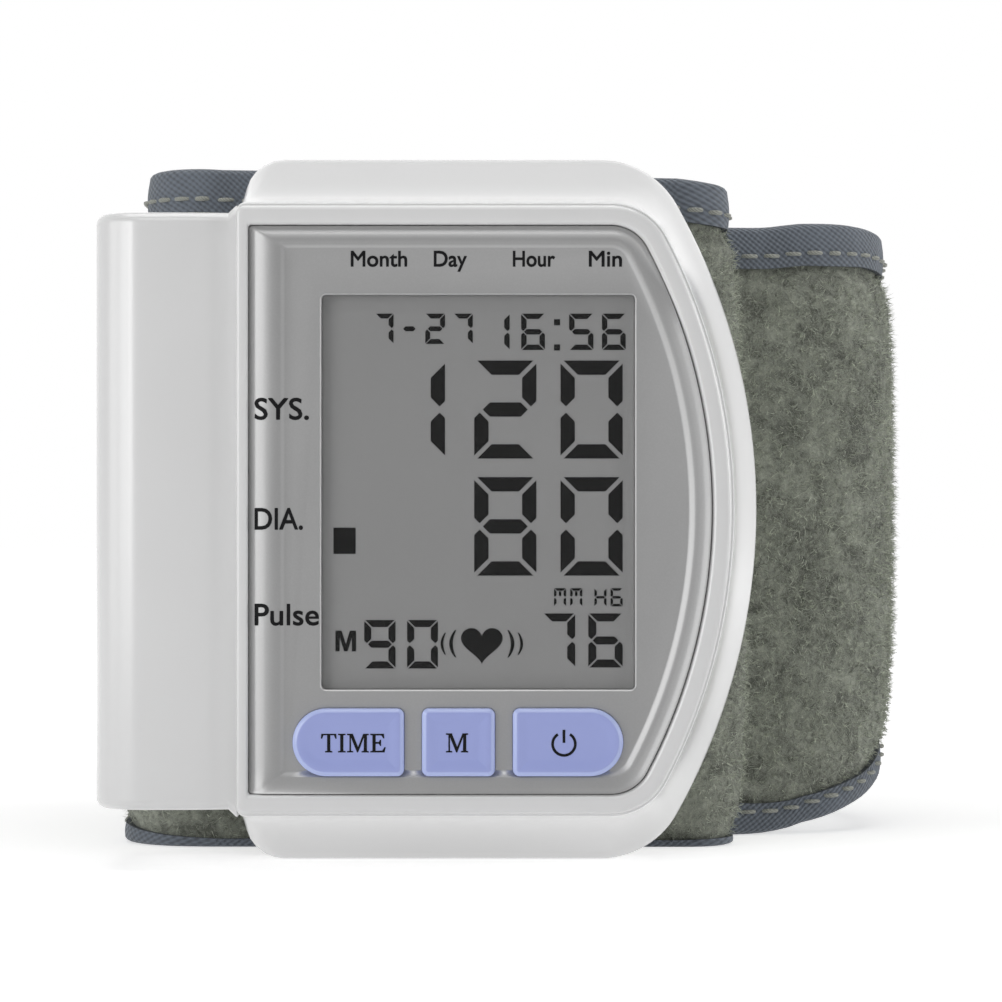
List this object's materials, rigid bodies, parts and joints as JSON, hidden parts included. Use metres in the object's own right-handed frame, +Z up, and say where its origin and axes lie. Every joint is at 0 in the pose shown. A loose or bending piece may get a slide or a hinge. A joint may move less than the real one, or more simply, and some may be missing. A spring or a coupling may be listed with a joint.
{
  "type": "wrist blood pressure monitor",
  "caption": "Wrist blood pressure monitor with a display unit, push buttons, side battery cover and a curled fleece cuff that opens.",
  "frame": {"origin": "middle of the underside of the whole monitor, as it stands on the lower edge of its cuff", "axes": "+X to the right seen from the display side, +Y from the display towards the wrist and the back of the cuff, +Z up along the wrist"},
  "size_m": [0.086, 0.0992, 0.0719],
  "materials": {
    "white_housing": "moulded gloss with a soft sheen",
    "silver_panel": "satin silver lacquer",
    "lens": "clear and smooth",
    "lcd": "grey liquid crystal glass",
    "button_blue": "satin lavender blue",
    "black_plastic": "matte",
    "circuit_board": "solder mask",
    "inner_plastic": "moulded, matte",
    "steel": "bright",
    "rubber": "matte",
    "air_tube": "soft translucent",
    "battery_jacket": "plain printed sleeve",
    "fleece": "brushed loop fleece",
    "lining": "fine woven nylon",
    "binding_tape": "ribbed woven tape with pale stitches",
    "hook_tape": "stiff hooks"
  },
  "bodies": {
    "root": {"front_housing": "white_housing", "rear_housing": "white_housing", "face_panel": "silver_panel", "display_lens": "lens", "lcd_glass": "lcd", "lcd_frame": "black_plastic", "tact_switch_time": "black_plastic", "tact_switch_memory": "black_plastic", "tact_switch_power": "black_plastic", "controller_chip": "black_plastic", "buzzer": "black_plastic", "valve_body": "black_plastic", "main_board": "circuit_board", "pressure_sensor": "inner_plastic", "pump_head": "inner_plastic", "air_block": "inner_plastic", "cuff_nozzle": "inner_plastic", "cuff_anchor_plate": "inner_plastic", "battery_tray": "inner_plastic", "cuff_former": "inner_plastic", "housing_screw_1": "steel", "housing_screw_2": "steel", "housing_screw_3": "steel", "housing_screw_4": "steel", "plate_screw_1": "steel", "plate_screw_2": "steel", "pump_motor": "steel", "contact_front": "steel", "contact_rear": "steel", "contact_bridge": "steel", "contact_spring_front": "steel", "contact_spring_rear": "steel", "lcd_contact_strip": "rubber", "cuff_bladder": "rubber", "pump_tube": "air_tube", "valve_tube": "air_tube", "sensor_tube": "air_tube", "battery_front": "battery_jacket", "battery_rear": "battery_jacket", "cuff_fleece": "fleece", "cuff_lining": "lining", "cuff_binding_top": "binding_tape", "cuff_binding_bottom": "binding_tape"},
    "button_time": {"button_time": "button_blue"},
    "button_memory": {"button_memory": "button_blue"},
    "button_power": {"button_power": "button_blue"},
    "battery_cover": {"battery_cover": "white_housing"},
    "pump_crank": {"pump_crank": "inner_plastic"},
    "valve_plunger": {"valve_plunger": "steel"},
    "cuff_strap": {"strap_fleece": "fleece", "strap_former": "inner_plastic", "strap_lining": "lining", "strap_binding_top": "binding_tape", "strap_binding_bottom": "binding_tape", "strap_hook_patch": "hook_tape"}
  },
  "joints": [
    {"name": "press_time", "type": "slide", "parent": "root", "child": "button_time", "axis": [0, 1, 0], "range_m": [0, 0.0008], "stiffness_N_per_m": 300, "springref_m": -0.0005},
    {"name": "press_memory", "type": "slide", "parent": "root", "child": "button_memory", "axis": [0, 1, 0], "range_m": [0, 0.0008], "stiffness_N_per_m": 300, "springref_m": -0.0005},
    {"name": "press_power", "type": "slide", "parent": "root", "child": "button_power", "axis": [0, 1, 0], "range_m": [0, 0.0008], "stiffness_N_per_m": 300, "springref_m": -0.0005},
    {"name": "battery_cover_slide", "type": "slide", "parent": "root", "child": "battery_cover", "axis": [-1, 0, 0], "range_m": [0, 0.022]},
    {"name": "cuff_strap_open", "type": "hinge", "parent": "root", "child": "cuff_strap", "pos_m": [0.00075, 0.04967, 0.03575], "axis": [0, 0, 1], "range_deg": [0, 75], "stiffness_Nm_per_rad": 0.05},
    {"name": "pump_crank_spin", "type": "hinge", "parent": "root", "child": "pump_crank", "pos_m": [0.00315, -0.03093, 0.03575], "axis": [0, 0, 1], "continuous": true},
    {"name": "valve_plunger_lift", "type": "slide", "parent": "root", "child": "valve_plunger", "axis": [0, 0, 1], "range_m": [0, 0.0008], "stiffness_N_per_m": 100}
  ]
}
